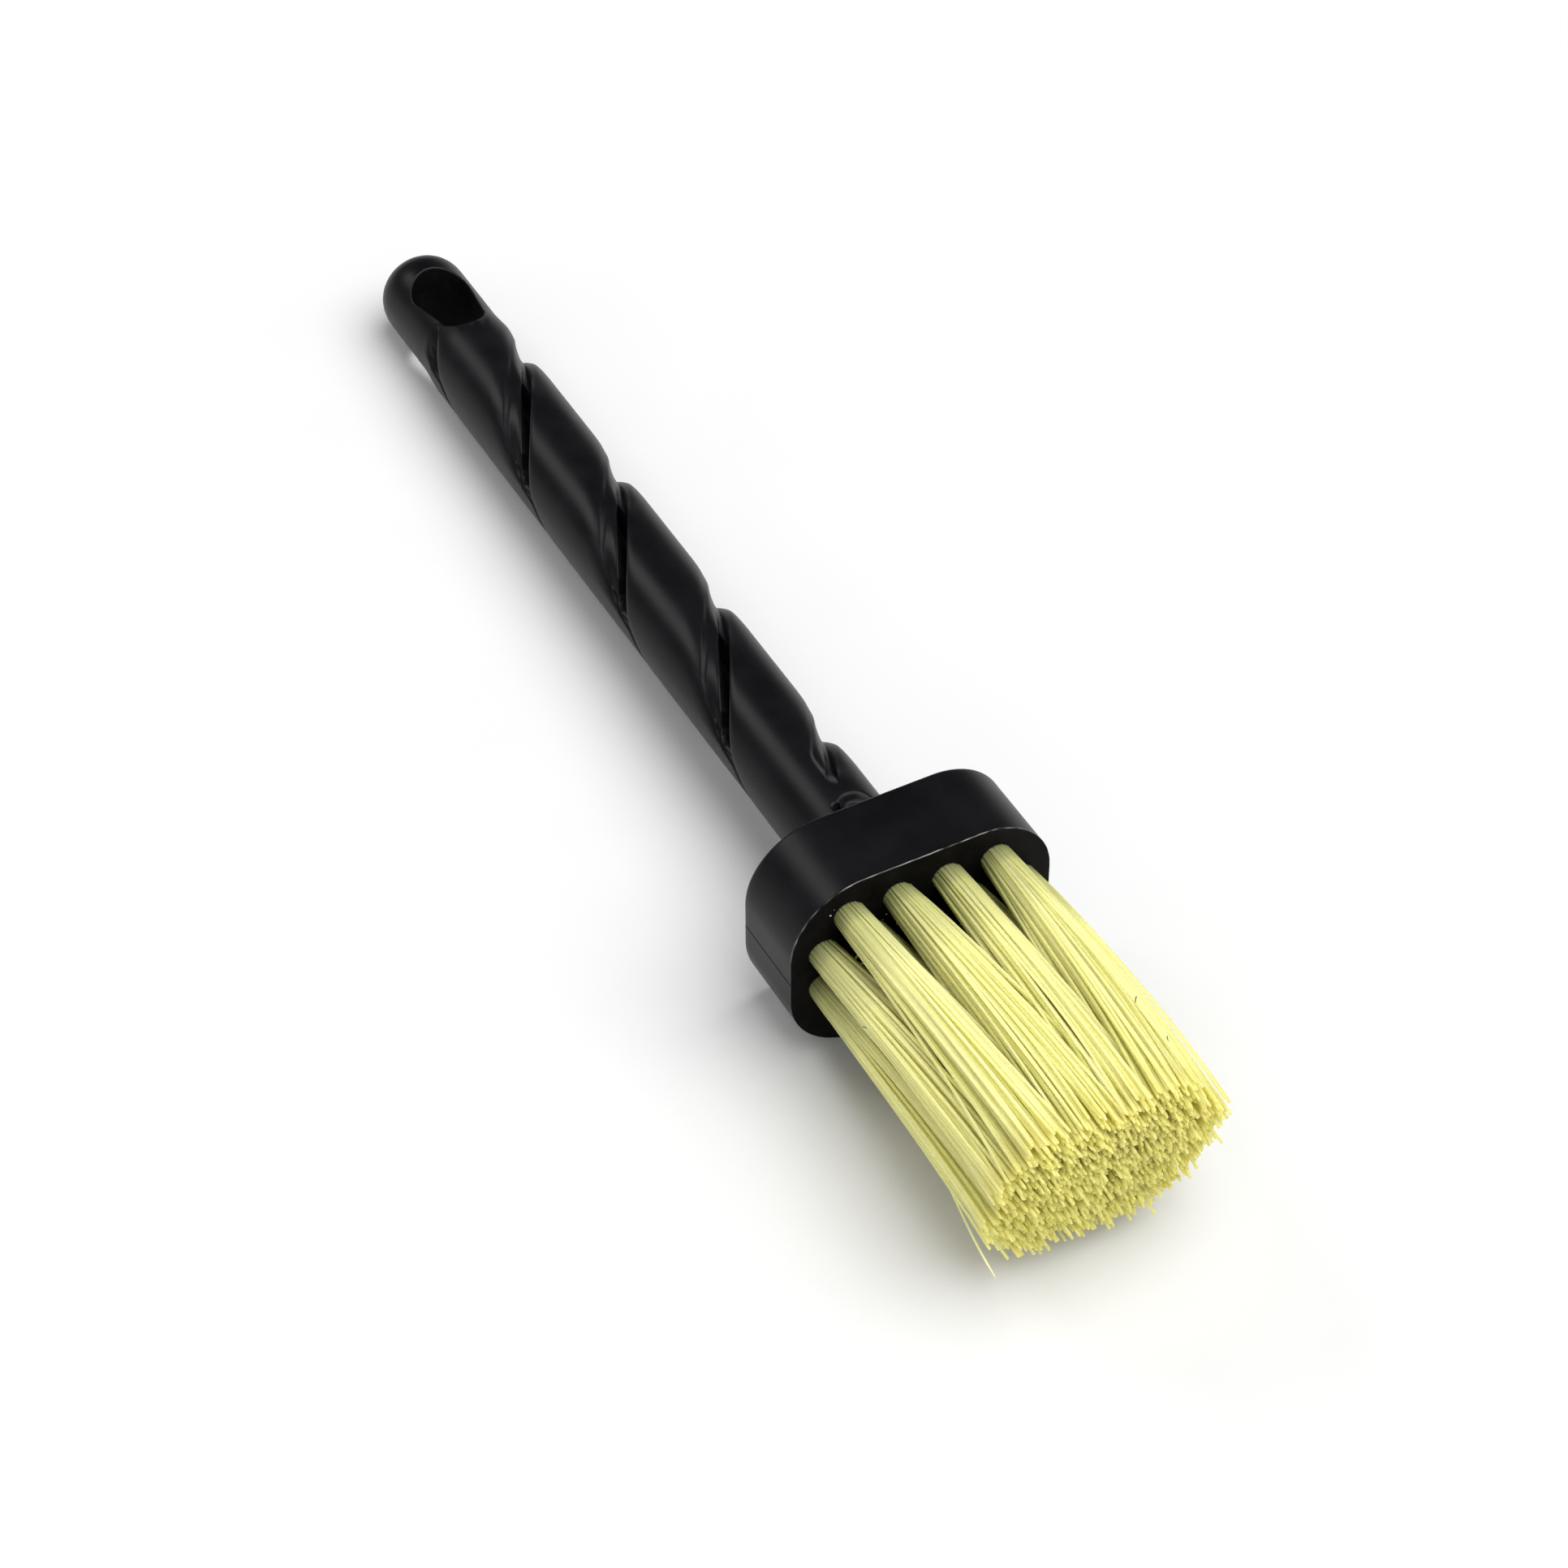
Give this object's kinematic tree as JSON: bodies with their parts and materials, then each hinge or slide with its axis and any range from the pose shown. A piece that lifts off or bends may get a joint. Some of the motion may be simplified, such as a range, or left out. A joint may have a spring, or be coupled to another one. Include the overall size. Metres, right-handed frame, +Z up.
{
  "type": "stencil brush",
  "caption": "Small hand brush with a twisted moulded handle, a rounded oblong head and stiff nylon tufts, for stippling, dabbing and scrubbing into corners.",
  "frame": {"origin": "on the surface the head lies on, below the middle of the brush's overall box", "axes": "+X from the hanging end of the handle to the bristle tips, along the handle's axis; +Z up from the long flat side of the head that the brush lies on; +Y across the head"},
  "size_m": [0.1396, 0.0266, 0.0196],
  "materials": {
    "black_plastic": "satin black injection-moulded plastic, fine grain, faint parting line",
    "pale_nylon": "pale yellow translucent nylon filament",
    "anchor_steel": "flat drawn anchor wire"
  },
  "bodies": {
    "root": {"handle_body": "black_plastic", "tuft_top_1": "pale_nylon", "tuft_top_2": "pale_nylon", "tuft_top_3": "pale_nylon", "tuft_top_4": "pale_nylon", "tuft_upper_1": "pale_nylon", "tuft_upper_2": "pale_nylon", "tuft_upper_3": "pale_nylon", "tuft_upper_4": "pale_nylon", "tuft_upper_5": "pale_nylon", "tuft_lower_1": "pale_nylon", "tuft_lower_2": "pale_nylon", "tuft_lower_3": "pale_nylon", "tuft_lower_4": "pale_nylon", "tuft_lower_5": "pale_nylon", "tuft_bottom_1": "pale_nylon", "tuft_bottom_2": "pale_nylon", "tuft_bottom_3": "pale_nylon", "tuft_bottom_4": "pale_nylon", "anchor_top_1": "anchor_steel", "anchor_top_2": "anchor_steel", "anchor_top_3": "anchor_steel", "anchor_top_4": "anchor_steel", "anchor_upper_1": "anchor_steel", "anchor_upper_2": "anchor_steel", "anchor_upper_3": "anchor_steel", "anchor_upper_4": "anchor_steel", "anchor_upper_5": "anchor_steel", "anchor_lower_1": "anchor_steel", "anchor_lower_2": "anchor_steel", "anchor_lower_3": "anchor_steel", "anchor_lower_4": "anchor_steel", "anchor_lower_5": "anchor_steel", "anchor_bottom_1": "anchor_steel", "anchor_bottom_2": "anchor_steel", "anchor_bottom_3": "anchor_steel", "anchor_bottom_4": "anchor_steel"}
  },
  "joints": []
}
